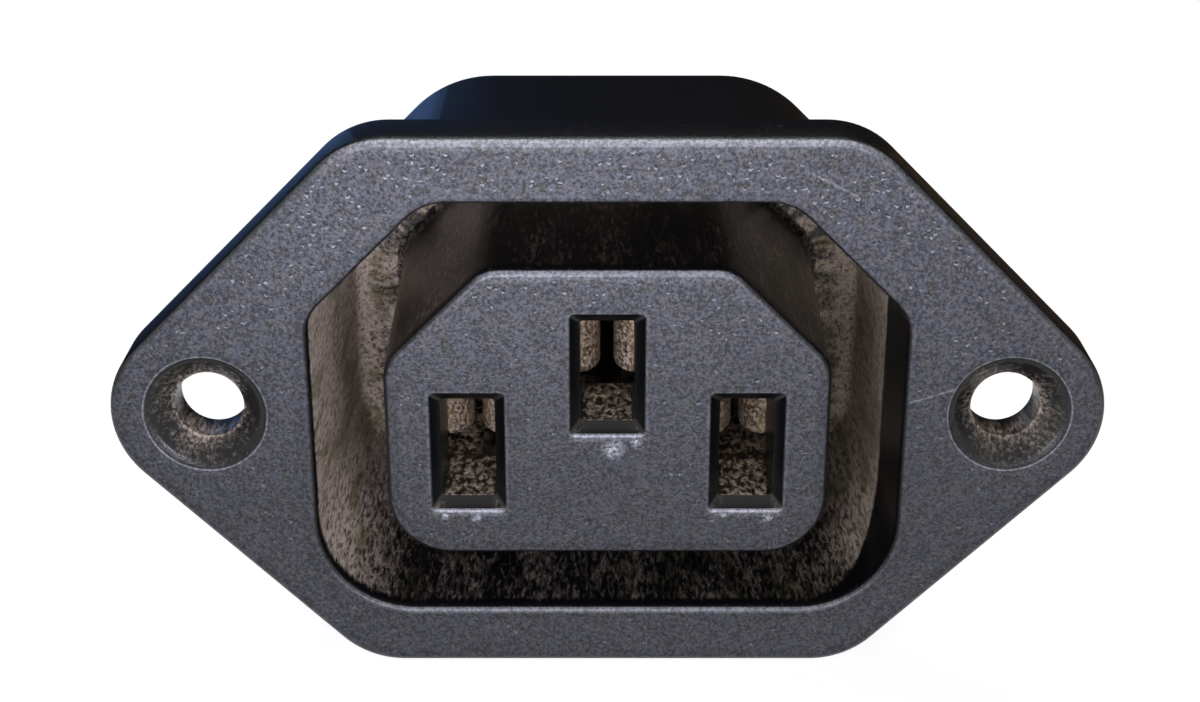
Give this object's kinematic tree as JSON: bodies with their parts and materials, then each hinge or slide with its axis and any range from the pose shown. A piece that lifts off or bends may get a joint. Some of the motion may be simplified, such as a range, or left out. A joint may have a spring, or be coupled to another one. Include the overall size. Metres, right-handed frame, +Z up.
{
  "type": "panel mount appliance outlet",
  "caption": "Panel mount appliance outlet: screw flange, keyed shroud and core, line, neutral and earth spring contacts with rear tabs.",
  "frame": {"origin": "midway between the two fixing holes, on the flange's back face, which is the panel's plane", "axes": "+X to the right along the line of the fixing holes, +Y through the panel towards the tabs, +Z up towards the earth contact"},
  "size_m": [0.0494, 0.0288, 0.0286],
  "materials": {
    "housing": "fine spark texture, dusty",
    "rear_cover": "fine spark texture",
    "contact": "dull, tarnished"
  },
  "bodies": {
    "root": {"housing": "housing", "rear_cover": "rear_cover", "line_contact": "contact", "neutral_contact": "contact", "earth_contact": "contact"}
  },
  "joints": []
}
